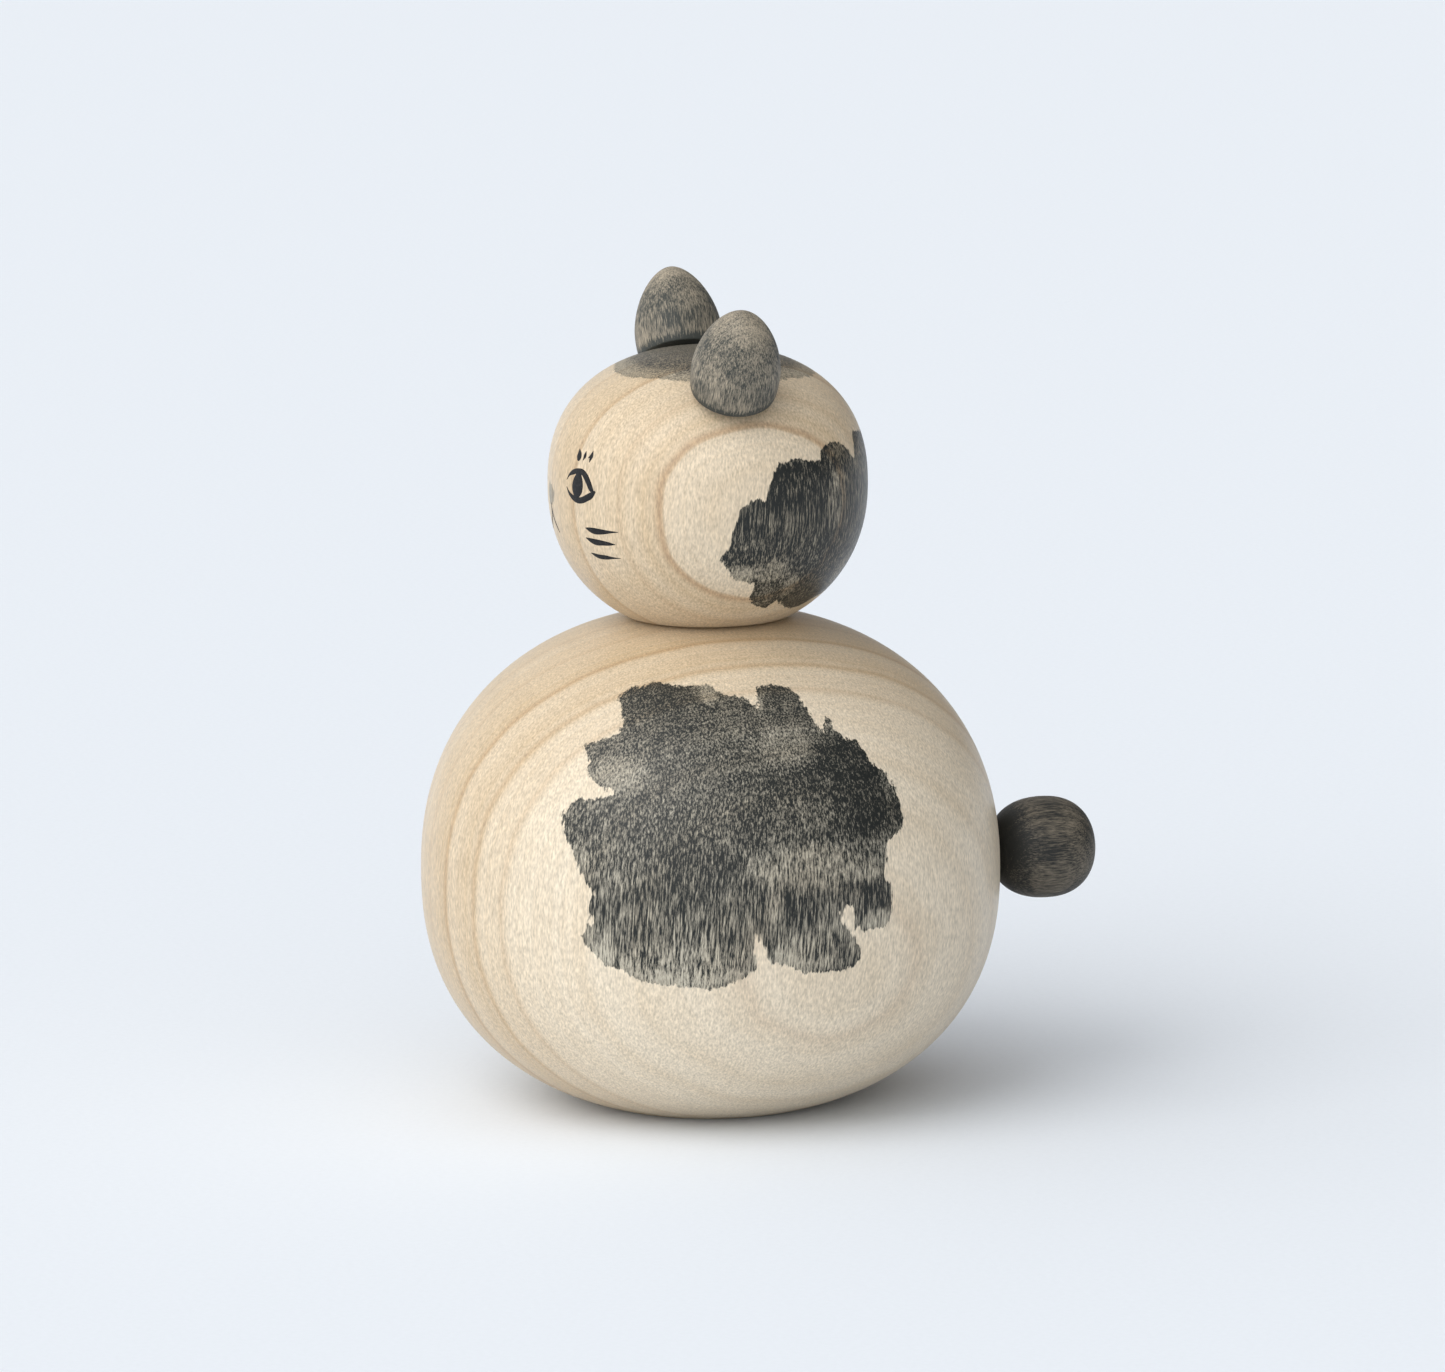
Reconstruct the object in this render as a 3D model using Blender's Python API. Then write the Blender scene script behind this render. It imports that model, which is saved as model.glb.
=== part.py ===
"""Turned wooden cat doll: a round body, a head that turns on it, two ears and a tail.

Every piece is turned on a lathe. The head carries a neck peg whose flared foot
snaps into an undercut socket in the body. The ears and the tail sit on dowels.
+Z is up, the doll faces -Y, and its own left side is +X. The origin is the
centre of the foot's flat underside.
"""
import math

import bmesh
import bpy
from mathutils import Matrix, Vector

# Driving dimensions, in metres.
GAP = 0.0003                    # between neighbouring pieces

BODY_RADIUS = 0.0330
BODY_UPPER_RISE = 0.02985       # equator to where the untrimmed upper curve would close
BODY_UPPER_POWER = 2.233
BODY_LOWER_DROP = 0.02790
BODY_LOWER_POWER = 2.308
FOOT_RADIUS = 0.0132            # flat that the doll stands on
SEAT_RADIUS = 0.0087            # flat that the head sits over

HEAD_RADIUS = 0.01814
HEAD_UPPER_RISE = 0.01544
HEAD_UPPER_POWER = 2.328
HEAD_LOWER_DROP = 0.01708
HEAD_LOWER_POWER = 2.145
HEAD_FLAT_RADIUS = 0.0094

NECK_PEG_RADIUS = 0.0040
NECK_PEG_FLARE = 0.0006         # how far the flared foot stands out of the shank
NECK_PEG_TIP_RADIUS = 0.0030
NECK_PEG_IN_HEAD = 0.0080
NECK_FLARE_LAND = 0.0012        # straight part of the flared foot
NECK_FLARE_TAPER = 0.0024       # lead-in under it
SOCKET_THROAT_DEPTH = 0.0050
SOCKET_DEPTH = 0.0110

EAR_RADIUS = 0.00502
EAR_BASE_RADIUS = 0.00466
EAR_SHOULDER = 0.00277          # base to widest turn
EAR_LENGTH = 0.01095
EAR_POWER = 1.72
EAR_TILT = math.radians(31.4)
EAR_SPREAD = 0.01316            # base centre from the doll's axis
EAR_LIFT = 0.00068              # base centre above the head, square to its surface

TAIL_RADIUS = 0.00583
TAIL_REACH = 0.03926            # widest turn from the doll's axis
TAIL_INNER_HALF = 0.00648
TAIL_OUTER_HALF = 0.00582
TAIL_POWER = 2.3
TAIL_HEIGHT = 0.0267

DOWEL_RADIUS = 0.0015
DOWEL_CHAMFER = 0.0004
DOWEL_IN_SMALL_PIECE = 0.0045   # length inside an ear or the tail
DOWEL_IN_LARGE_PIECE = 0.0055   # length inside the head or the body

BODY_SEGMENTS = 64
HEAD_SEGMENTS = 56
SMALL_SEGMENTS = 36
DOWEL_SEGMENTS = 20
BODY_STEPS = 12                 # turns of the profile in each half
HEAD_STEPS = 11
SMALL_STEPS = 9
SHOULDER_STEPS = 4
MERGE = 1e-6
SHARP_ANGLE = math.radians(35)

LIGHT_WOOD = (0.78, 0.66, 0.48)
DOWEL_WOOD = (0.70, 0.56, 0.38)
GREY_STAIN = (0.30, 0.28, 0.25)
DARK_STAIN = (0.12, 0.11, 0.10)


def superellipse_height(radius, reach, rise, power):
    """Height above the widest turn where a superellipse of this rise has this radius."""
    return rise * (1 - (radius / reach) ** power) ** (1 / power)


# Sizes that follow from the ones above.
BODY_EQUATOR = superellipse_height(FOOT_RADIUS, BODY_RADIUS, BODY_LOWER_DROP, BODY_LOWER_POWER)
SEAT_HEIGHT = BODY_EQUATOR + superellipse_height(SEAT_RADIUS, BODY_RADIUS, BODY_UPPER_RISE,
                                                 BODY_UPPER_POWER)
HEAD_BOTTOM = SEAT_HEIGHT + GAP
HEAD_HALF = superellipse_height(HEAD_FLAT_RADIUS, HEAD_RADIUS, HEAD_LOWER_DROP,
                                HEAD_LOWER_POWER)      # underside to widest turn
FACING_BACK = (-math.pi / 2, 0.0, 0.0)                 # turns a piece's own axis to +Y
SIDES = (("left", 1), ("right", -1))


def superellipse_half(reach, rise, power, flat_radius, steps):
    """(radius, height) pairs from the widest turn to the flat that trims the curve."""
    top = superellipse_height(flat_radius, reach, rise, power)
    last = math.asin(min(1.0, top / rise) ** (power / 2))
    points = []
    for step in range(steps + 1):
        angle = last * step / steps
        points.append((reach * math.cos(angle) ** (2 / power),
                       rise * math.sin(angle) ** (2 / power)))
    return points


def wood(name, colour, roughness):
    """One plain finish for one sub-part."""
    material = bpy.data.materials.new(name)
    material.use_nodes = True
    shader = material.node_tree.nodes["Principled BSDF"]
    shader.inputs["Base Color"].default_value = (*colour, 1.0)
    shader.inputs["Roughness"].default_value = roughness
    shader.inputs["Metallic"].default_value = 0.0
    return material


def turned(name, profile, segments, finish, parent):
    """Spin a closed profile, given from axis to axis, about local Z."""
    mesh = bpy.data.meshes.new(name)
    bm = bmesh.new()
    rim = [bm.verts.new((radius, 0.0, height)) for radius, height in profile]
    edges = [bm.edges.new(pair) for pair in zip(rim, rim[1:])]
    bmesh.ops.spin(bm, geom=rim + edges, cent=(0, 0, 0), axis=(0, 0, 1),
                   angle=2 * math.pi, steps=segments, use_merge=True)
    bmesh.ops.remove_doubles(bm, verts=bm.verts, dist=MERGE)
    bmesh.ops.recalc_face_normals(bm, faces=bm.faces)
    bm.to_mesh(mesh)
    bm.free()
    mesh.shade_smooth()
    mesh.set_sharp_from_angle(angle=SHARP_ANGLE)
    mesh.materials.append(finish)
    piece = bpy.data.objects.new(name, mesh)
    bpy.context.collection.objects.link(piece)
    piece.parent = parent
    return piece


def drill(piece, name, start, direction, depth):
    """Bore a dowel hole into a piece, from outside its surface to depth below start."""
    entry = 2 * DOWEL_IN_SMALL_PIECE
    mesh = bpy.data.meshes.new(name)
    bm = bmesh.new()
    bmesh.ops.create_cone(bm, cap_ends=True, segments=DOWEL_SEGMENTS,
                          radius1=DOWEL_RADIUS + GAP, radius2=DOWEL_RADIUS + GAP,
                          depth=depth + entry,
                          matrix=Matrix.Translation((0, 0, (entry - depth) / 2)))
    bm.to_mesh(mesh)
    bm.free()
    cutter = bpy.data.objects.new(name, mesh)
    bpy.context.collection.objects.link(cutter)
    cutter.parent = piece.parent
    cutter.location = start
    cutter.rotation_euler = direction
    cutter.hide_render = True
    cutter.display_type = "WIRE"
    cut = piece.modifiers.new(name, "BOOLEAN")
    cut.operation = "DIFFERENCE"
    cut.object = cutter


def dowel_profile(low, high):
    """A chamfered dowel between two stations on its own axis."""
    return [(0.0, low),
            (DOWEL_RADIUS - DOWEL_CHAMFER, low),
            (DOWEL_RADIUS, low + DOWEL_CHAMFER),
            (DOWEL_RADIUS, high - DOWEL_CHAMFER),
            (DOWEL_RADIUS - DOWEL_CHAMFER, high),
            (0.0, high)]


def blind_hole(depth):
    """The dowel hole that a small piece's profile starts with, bottom of the hole first."""
    radius = DOWEL_RADIUS + GAP
    return [(0.0, depth), (radius, depth), (radius, 0.0)]


def axle(name, height):
    """An empty on the doll's axis that carries everything that moves together."""
    empty = bpy.data.objects.new(name, None)
    bpy.context.collection.objects.link(empty)
    empty.location = (0.0, 0.0, height)
    return empty


def make_body(carrier):
    """Squashed ball with a flat foot, a seat for the head and an undercut socket."""
    lower = superellipse_half(BODY_RADIUS, BODY_LOWER_DROP, BODY_LOWER_POWER,
                              FOOT_RADIUS, BODY_STEPS)
    upper = superellipse_half(BODY_RADIUS, BODY_UPPER_RISE, BODY_UPPER_POWER,
                              SEAT_RADIUS, BODY_STEPS)
    throat = NECK_PEG_RADIUS + GAP
    chamber = throat + NECK_PEG_FLARE
    profile = [(0.0, 0.0)]
    profile += [(radius, BODY_EQUATOR - drop) for radius, drop in reversed(lower)]
    profile += [(radius, BODY_EQUATOR + rise) for radius, rise in upper[1:]]
    profile += [(throat, SEAT_HEIGHT),
                (throat, SEAT_HEIGHT - SOCKET_THROAT_DEPTH),
                (chamber, SEAT_HEIGHT - SOCKET_THROAT_DEPTH),
                (chamber, SEAT_HEIGHT - SOCKET_DEPTH),
                (0.0, SEAT_HEIGHT - SOCKET_DEPTH)]
    body = turned("body", profile, BODY_SEGMENTS, wood("body_wood", LIGHT_WOOD, 0.42), carrier)
    drill(body, "tail_hole_cutter", (0.0, BODY_RADIUS, TAIL_HEIGHT), FACING_BACK,
          DOWEL_IN_LARGE_PIECE + GAP)


def make_neck_peg(carrier):
    """Peg glued into the head, with the flared foot that the body's socket holds."""
    flare = NECK_PEG_RADIUS + NECK_PEG_FLARE
    flare_top = SEAT_HEIGHT - SOCKET_THROAT_DEPTH - GAP
    land = flare_top - NECK_FLARE_LAND
    tip = land - NECK_FLARE_TAPER
    head_end = HEAD_BOTTOM + NECK_PEG_IN_HEAD
    stations = [(0.0, tip),
                (NECK_PEG_TIP_RADIUS, tip),
                (flare, land),
                (flare, flare_top),
                (NECK_PEG_RADIUS, flare_top),
                (NECK_PEG_RADIUS, head_end - DOWEL_CHAMFER),
                (NECK_PEG_RADIUS - DOWEL_CHAMFER, head_end),
                (0.0, head_end)]
    profile = [(radius, height - HEAD_BOTTOM) for radius, height in stations]
    turned("neck_peg", profile, SMALL_SEGMENTS, wood("neck_peg_wood", DOWEL_WOOD, 0.6), carrier)


def make_head(carrier):
    """Squashed ball with a flat underside, a neck hole and two ear holes."""
    lower = superellipse_half(HEAD_RADIUS, HEAD_LOWER_DROP, HEAD_LOWER_POWER,
                              HEAD_FLAT_RADIUS, HEAD_STEPS)
    upper = superellipse_half(HEAD_RADIUS, HEAD_UPPER_RISE, HEAD_UPPER_POWER,
                              0.0, HEAD_STEPS)
    hole = NECK_PEG_RADIUS + GAP
    hole_top = NECK_PEG_IN_HEAD + GAP
    profile = [(0.0, hole_top), (hole, hole_top), (hole, 0.0)]
    profile += [(radius, HEAD_HALF - drop) for radius, drop in reversed(lower)]
    profile += [(radius, HEAD_HALF + rise) for radius, rise in upper[1:-1]]
    profile += [(0.0, HEAD_HALF + HEAD_UPPER_RISE)]
    head = turned("head", profile, HEAD_SEGMENTS, wood("head_wood", LIGHT_WOOD, 0.42), carrier)
    for side, sign in SIDES:
        drill(head, f"ear_hole_cutter_{side}", ear_base(sign), (0.0, sign * EAR_TILT, 0.0),
              EAR_LIFT + DOWEL_IN_LARGE_PIECE + GAP)


def ear_base(sign):
    """Centre of an ear's underside, measured from the head's underside."""
    low = 0.0
    high = HEAD_RADIUS
    while high - low > MERGE:
        radius = (low + high) / 2
        height = superellipse_height(radius, HEAD_RADIUS, HEAD_UPPER_RISE, HEAD_UPPER_POWER)
        slope = Vector(((radius / HEAD_RADIUS) ** (HEAD_UPPER_POWER - 1) / HEAD_RADIUS,
                        (height / HEAD_UPPER_RISE) ** (HEAD_UPPER_POWER - 1) / HEAD_UPPER_RISE))
        lifted = Vector((radius, height)) + slope.normalized() * EAR_LIFT
        if lifted.x < EAR_SPREAD:
            low = radius
        else:
            high = radius
    return (sign * lifted.x, 0.0, HEAD_HALF + lifted.y)


def make_ears(carrier):
    """Two bullet-shaped ears with flat undersides, and the dowels they stand on."""
    crown = superellipse_half(EAR_RADIUS, EAR_LENGTH - EAR_SHOULDER, EAR_POWER,
                              0.0, SMALL_STEPS)
    profile = blind_hole(DOWEL_IN_SMALL_PIECE + GAP)
    for step in range(SHOULDER_STEPS):
        angle = math.pi / 2 * step / SHOULDER_STEPS
        profile.append((EAR_BASE_RADIUS + (EAR_RADIUS - EAR_BASE_RADIUS) * math.sin(angle),
                        EAR_SHOULDER * (1 - math.cos(angle))))
    profile += [(radius, EAR_SHOULDER + rise) for radius, rise in crown[:-1]]
    profile += [(0.0, EAR_LENGTH)]
    peg = dowel_profile(-EAR_LIFT - DOWEL_IN_LARGE_PIECE, DOWEL_IN_SMALL_PIECE)
    for side, sign in SIDES:
        ear = turned(f"ear_{side}", profile, SMALL_SEGMENTS,
                     wood(f"ear_{side}_stain", GREY_STAIN, 0.55), carrier)
        pin = turned(f"ear_peg_{side}", peg, DOWEL_SEGMENTS,
                     wood(f"ear_peg_{side}_wood", DOWEL_WOOD, 0.6), carrier)
        for piece in (ear, pin):
            piece.location = ear_base(sign)
            piece.rotation_euler = (0.0, sign * EAR_TILT, 0.0)


def make_tail(carrier):
    """Round knob behind the body, flat where it meets it, and its dowel."""
    base = BODY_RADIUS + GAP
    centre = TAIL_REACH - base
    base_radius = superellipse_height(centre, TAIL_INNER_HALF, TAIL_RADIUS, TAIL_POWER)
    inner = superellipse_half(TAIL_RADIUS, TAIL_INNER_HALF, TAIL_POWER, base_radius, SMALL_STEPS)
    outer = superellipse_half(TAIL_RADIUS, TAIL_OUTER_HALF, TAIL_POWER, 0.0, SMALL_STEPS)
    profile = blind_hole(DOWEL_IN_SMALL_PIECE + GAP)
    profile += [(radius, centre - drop) for radius, drop in reversed(inner)]
    profile += [(radius, centre + rise) for radius, rise in outer[1:-1]]
    profile += [(0.0, centre + TAIL_OUTER_HALF)]
    tail = turned("tail", profile, SMALL_SEGMENTS, wood("tail_stain", DARK_STAIN, 0.5), carrier)
    peg = dowel_profile(-GAP - DOWEL_IN_LARGE_PIECE, DOWEL_IN_SMALL_PIECE)
    pin = turned("tail_peg", peg, DOWEL_SEGMENTS, wood("tail_peg_wood", DOWEL_WOOD, 0.6), carrier)
    for piece in (tail, pin):
        piece.location = (0.0, base, TAIL_HEIGHT)
        piece.rotation_euler = FACING_BACK


for leftover in list(bpy.data.objects):
    bpy.data.objects.remove(leftover, do_unlink=True)

standing = axle("standing_half", 0.0)
make_body(standing)
make_tail(standing)

turning = axle("turning_half", HEAD_BOTTOM)
make_head(turning)
make_neck_peg(turning)
make_ears(turning)
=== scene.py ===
import math

import bmesh
import bpy
import numpy as np
from mathutils import Matrix, Vector


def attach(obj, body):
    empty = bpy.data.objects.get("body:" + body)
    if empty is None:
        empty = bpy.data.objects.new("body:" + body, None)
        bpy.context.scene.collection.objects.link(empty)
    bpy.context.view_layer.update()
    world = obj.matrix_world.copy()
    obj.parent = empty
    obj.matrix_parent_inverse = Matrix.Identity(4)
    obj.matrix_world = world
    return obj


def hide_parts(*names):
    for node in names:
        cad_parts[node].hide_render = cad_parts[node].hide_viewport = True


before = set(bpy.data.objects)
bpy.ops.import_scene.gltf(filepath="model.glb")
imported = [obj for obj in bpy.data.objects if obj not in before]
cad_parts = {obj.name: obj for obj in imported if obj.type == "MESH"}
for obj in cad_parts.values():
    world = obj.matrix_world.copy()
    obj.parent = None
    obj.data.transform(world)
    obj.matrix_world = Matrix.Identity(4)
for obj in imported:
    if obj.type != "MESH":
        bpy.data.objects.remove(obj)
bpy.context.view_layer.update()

scene = bpy.context.scene

# ---------------------------------------------------------------------------
# Camera. A long lens a little over a metre away, slightly above the doll and
# on its left side, so that the face is seen from the side.
CAMERA_AZIMUTH = math.radians(77.2)
CAMERA_ELEVATION = math.radians(10.64)
CAMERA_DISTANCE = 1.1366
CAMERA_ROLL = math.radians(0.41)
CAMERA_AIM = Vector((0.00033, 0.00147, 0.04736))
CAMERA_LENS = 249.2             # with a sensor 36 mm wide

toward_camera = Vector((math.sin(CAMERA_AZIMUTH) * math.cos(CAMERA_ELEVATION),
                        -math.cos(CAMERA_AZIMUTH) * math.cos(CAMERA_ELEVATION),
                        math.sin(CAMERA_ELEVATION)))
level_right = Vector((math.cos(CAMERA_AZIMUTH), math.sin(CAMERA_AZIMUTH), 0.0))
level_up = toward_camera.cross(level_right)
camera_right = level_right * math.cos(CAMERA_ROLL) - level_up * math.sin(CAMERA_ROLL)
camera_up = level_right * math.sin(CAMERA_ROLL) + level_up * math.cos(CAMERA_ROLL)
camera_data = bpy.data.cameras.new("camera")
camera_data.lens = CAMERA_LENS
camera_data.sensor_width = 36.0
camera_data.sensor_fit = "HORIZONTAL"
camera_data.clip_end = 50.0
camera = bpy.data.objects.new("camera", camera_data)
scene.collection.objects.link(camera)
camera.matrix_world = Matrix.Translation(CAMERA_AIM + toward_camera * CAMERA_DISTANCE) @ Matrix(
    (camera_right, camera_up, toward_camera)).transposed().to_4x4()
scene.camera = camera
scene.view_settings.view_transform = "Standard"

# ---------------------------------------------------------------------------
# Table and light. The doll stands on smooth pale card. One broad lamp hangs high
# in front of the doll, a weak fill stands low on its left, and the white room is
# brighter on the lamp's side and dimmer behind the doll.
TABLE_HALF_WIDTH = 6.0
TABLE_DROP = 0.00002            # keeps the card clear of the foot's underside
CARD_COLOUR = (0.822, 0.866, 0.924)
CARD_ROUGHNESS = 0.75
CARD_SHINE = 0.2
CARD_TOOTH = 0.01               # how much the card's tone varies from place to place
ROOM_WAY = (0.35, -0.94, 0.0)   # towards the brighter side of the room
ROOM_LIGHT = 0.758
ROOM_SIDE_SHARE = 0.92          # how much brighter the lamp's side of the room is


def finish_step(finish, kind, feeds=None, output=0, **settings):
    """Add one node to a finish, feed its inputs, and give back one of its outputs."""
    node = finish.node_tree.nodes.new("ShaderNode" + kind)
    for setting, value in settings.items():
        setattr(node, setting, value)
    for name, value in (feeds or {}).items():
        if isinstance(value, bpy.types.NodeSocket):
            finish.node_tree.links.new(value, node.inputs[name])
        else:
            node.inputs[name].default_value = value
    return node.outputs[output]


def reckon(finish, operation, *values, clamp=False):
    """Work out one number from numbers or node outputs."""
    return finish_step(finish, "Math", dict(enumerate(values)), operation=operation,
                       use_clamp=clamp)


def new_finish(name, roughness):
    """An empty finish: a shader with nothing on it yet."""
    finish = bpy.data.materials.new(name)
    finish.use_nodes = True
    shader = finish.node_tree.nodes["Principled BSDF"]
    shader.inputs["Roughness"].default_value = roughness
    return finish, shader


card, card_shader = new_finish("pale_card", CARD_ROUGHNESS)
card_shader.inputs["Specular IOR Level"].default_value = CARD_SHINE
card_tooth = finish_step(card, "TexNoise", {
    "Vector": finish_step(card, "TexCoord", output="Object"), "Scale": 1400.0, "Detail": 2.0})
card_tone = finish_step(card, "MapRange", {
    "Value": card_tooth, "From Min": 0.3, "From Max": 0.7, "To Min": 1 - CARD_TOOTH,
    "To Max": 1 + CARD_TOOTH})
card.node_tree.links.new(
    finish_step(card, "VectorMath", {0: CARD_COLOUR, "Scale": card_tone}, operation="SCALE"),
    card_shader.inputs["Base Color"])
card_mesh = bpy.data.meshes.new("table")
card_mesh.from_pydata(
    [(x * TABLE_HALF_WIDTH, y * TABLE_HALF_WIDTH, -TABLE_DROP)
     for x, y in ((-1, -1), (1, -1), (1, 1), (-1, 1))], [], [(0, 1, 2, 3)])
card_mesh.materials.append(card)
table = bpy.data.objects.new("table", card_mesh)
scene.collection.objects.link(table)


def hang_lamp(name, energy, breadth, azimuth, elevation, colour):
    """A far, broad light. Angles are in degrees, and the azimuth is from the doll's front
    towards its own left."""
    data = bpy.data.lights.new(name, "SUN")
    data.energy = energy
    data.angle = math.radians(breadth)
    data.color = colour
    lamp = bpy.data.objects.new(name, data)
    scene.collection.objects.link(lamp)
    turn = math.radians(azimuth)
    level = math.cos(math.radians(elevation))
    lamp.rotation_euler = Vector((
        math.sin(turn) * level, -math.cos(turn) * level,
        math.sin(math.radians(elevation)))).to_track_quat("Z", "Y").to_euler()


hang_lamp("broad_lamp", energy=1.02, breadth=50.0, azimuth=32.0, elevation=46.0,
          colour=(1.0, 0.985, 0.965))
hang_lamp("low_fill", energy=0.42, breadth=60.0, azimuth=58.0, elevation=18.0,
          colour=(1.0, 1.0, 1.0))

room = bpy.data.worlds.new("white_room")
room.use_nodes = True
room_way = finish_step(room, "TexCoord", output="Generated")
room_side = finish_step(room, "VectorMath", {0: room_way, 1: ROOM_WAY}, output="Value",
                        operation="DOT_PRODUCT")
room_glow = room.node_tree.nodes["Background"]
room_glow.inputs["Color"].default_value = (0.985, 0.992, 1.0, 1.0)
room.node_tree.links.new(reckon(room, "MULTIPLY_ADD", room_side, ROOM_LIGHT * ROOM_SIDE_SHARE,
                                ROOM_LIGHT), room_glow.inputs["Strength"])
scene.world = room

# ---------------------------------------------------------------------------
# Body. One block of maple turned to a squashed ball, with a flat foot, a seat
# for the head and an undercut socket for its peg. An ink patch is dabbed on
# the left flank with a wide dry brush, and the whole is waxed to a soft shine.
BODY_RADIUS = 0.0330
BODY_UPPER_RISE = 0.02985
BODY_UPPER_POWER = 2.233
BODY_LOWER_DROP = 0.02790
BODY_LOWER_POWER = 2.308
FOOT_RADIUS = 0.0132
SEAT_RADIUS = 0.0087
SOCKET_THROAT_RADIUS = 0.0043
SOCKET_CHAMBER_RADIUS = 0.0049
SOCKET_THROAT_DEPTH = 0.0050
SOCKET_DEPTH = 0.0110
BODY_STEPS = 66                 # turns of the profile in each half
BODY_COLUMNS = 384
CREAM = (0.680, 0.592, 0.462, 1.0)
AMBER = (0.510, 0.383, 0.236, 1.0)
RING_BROWN = (0.330, 0.185, 0.085, 1.0)
INK = (0.009, 0.011, 0.010, 1.0)
THIN_WASH = (0.62, 0.665, 0.69, 1.0)
WAX_ROUGHNESS = 0.37
WAX_SPREAD = 0.05               # how far the threads shift the wax's roughness
WAX_SHINE = 0.34
GRAIN_DEPTH = 0.00002           # relief of the threads, in metres
BODY_HEART = 60.0               # depth of the log's heart behind the left flank, in mm


def curve_height(radius, reach, rise, power):
    """Height above the widest turn where the turner's curve has this radius."""
    return rise * (1 - (radius / reach) ** power) ** (1 / power)


def curve_half(reach, rise, power, flat_radius, steps):
    """(radius, height) pairs from the widest turn to the flat that trims the curve."""
    last = math.asin(min(1.0, curve_height(flat_radius, reach, rise, power) / rise) ** (power / 2))
    return [(reach * math.cos(last * step / steps) ** (2 / power),
             rise * math.sin(last * step / steps) ** (2 / power)) for step in range(steps + 1)]


def turned(name, profile, columns, sharp_degrees=35.0):
    """Spin a profile that runs from axis to axis, and lay its map out as turn by length."""
    profile = np.array(profile, float)
    lengths = np.concatenate([[0.0], np.cumsum(np.hypot(*np.diff(profile, axis=0).T))])
    shares = lengths / lengths[-1]
    inner = profile[1:-1]
    angles = 2 * np.pi * np.arange(columns) / columns + np.pi
    rings = np.stack([np.outer(inner[:, 0], np.cos(angles)),
                      np.outer(inner[:, 0], np.sin(angles)),
                      np.repeat(inner[:, 1:], columns, axis=1)], axis=2).reshape(-1, 3)
    points = np.concatenate([[(0.0, 0.0, profile[0, 1])], rings, [(0.0, 0.0, profile[-1, 1])]])
    faces = []
    corners = []
    top = len(points) - 1
    for column in range(columns):
        after = (column + 1) % columns
        left, right = column / columns, (column + 1) / columns
        faces.append((0, 1 + after, 1 + column))
        corners += [((left + right) / 2, shares[0]), (right, shares[1]), (left, shares[1])]
        for row in range(len(inner) - 1):
            low, high = 1 + row * columns, 1 + (row + 1) * columns
            faces.append((low + column, low + after, high + after, high + column))
            corners += [(left, shares[row + 1]), (right, shares[row + 1]),
                        (right, shares[row + 2]), (left, shares[row + 2])]
        last = 1 + (len(inner) - 1) * columns
        faces.append((last + column, last + after, top))
        corners += [(left, shares[-2]), (right, shares[-2]), ((left + right) / 2, shares[-1])]
    mesh = bpy.data.meshes.new(name)
    mesh.from_pydata(points.tolist(), [], faces)
    mesh.uv_layers.new(name="OFBake").data.foreach_set("uv", np.array(corners).ravel())
    mesh.shade_smooth()
    mesh.set_sharp_from_angle(angle=math.radians(sharp_degrees))
    piece = bpy.data.objects.new(name, mesh)
    scene.collection.objects.link(piece)
    return piece


def place_on(skin, azimuth, height):
    """A point on a turned skin, in mm, and the outward direction there.

    The azimuth is in degrees from the doll's front towards its own left."""
    turn = math.radians(azimuth)
    radius, slope = skin(height)
    spot = np.array([radius * math.sin(turn), -radius * math.cos(turn), height])
    outward = np.array([math.sin(turn) * slope[0], -math.cos(turn) * slope[0], slope[1]])
    return spot, outward


def turned_skin(equator, reach, rise, power, drop, low_power):
    """Gives the radius and the outward slope, in mm, of a turner's curve at any height in mm."""
    def skin(height):
        part = (height - equator * 1000) / ((rise if height > equator * 1000 else drop) * 1000)
        bend = power if part > 0 else low_power
        radius = reach * 1000 * (1 - min(abs(part), 0.9999) ** bend) ** (1 / bend)
        slope = np.array([(radius / (reach * 1000)) ** (bend - 1) / reach,
                          math.copysign(abs(part) ** (bend - 1), part)
                          / (rise if part > 0 else drop)])
        return radius, slope / np.hypot(*slope)
    return skin


def inside_outline(points, skin, outline, first_azimuth=0.0):
    """How far each point lies inside a brushed outline, in mm; less than 0 is outside.

    The outline is walked round in (azimuth, height) pairs, in degrees and mm."""
    azimuths = (np.degrees(np.arctan2(points[:, 0], -points[:, 1])) - first_azimuth) % 360
    azimuths += first_azimuth
    heights = points[:, 2]
    walk = list(zip(outline, outline[1:] + outline[:1]))
    within = np.zeros(len(points), bool)
    nearest = np.full(len(points), 99.0)
    for (turn_a, high_a), (turn_b, high_b) in walk:
        start = place_on(skin, turn_a, high_a)[0]
        step = place_on(skin, turn_b, high_b)[0] - start
        share = np.clip((points - start) @ step / (step @ step), 0, 1)
        nearest = np.minimum(nearest, np.linalg.norm(points - start - share[:, None] * step, axis=1))
        if high_a != high_b:
            crossing = turn_a + (heights - high_a) / (high_b - high_a) * (turn_b - turn_a)
            within ^= ((heights > high_a) != (heights > high_b)) & (azimuths < crossing)
    return np.where(within, nearest, -nearest)


BRUSH_DRYNESS = 0.15            # where no dab lies; 0 is wet and 1 is nearly dry
DAB_RIM = 1.25                  # where a dab ends, in half widths from its middle
DAB_FADE = 0.6                  # how wide its fading band is, in half widths


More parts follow.
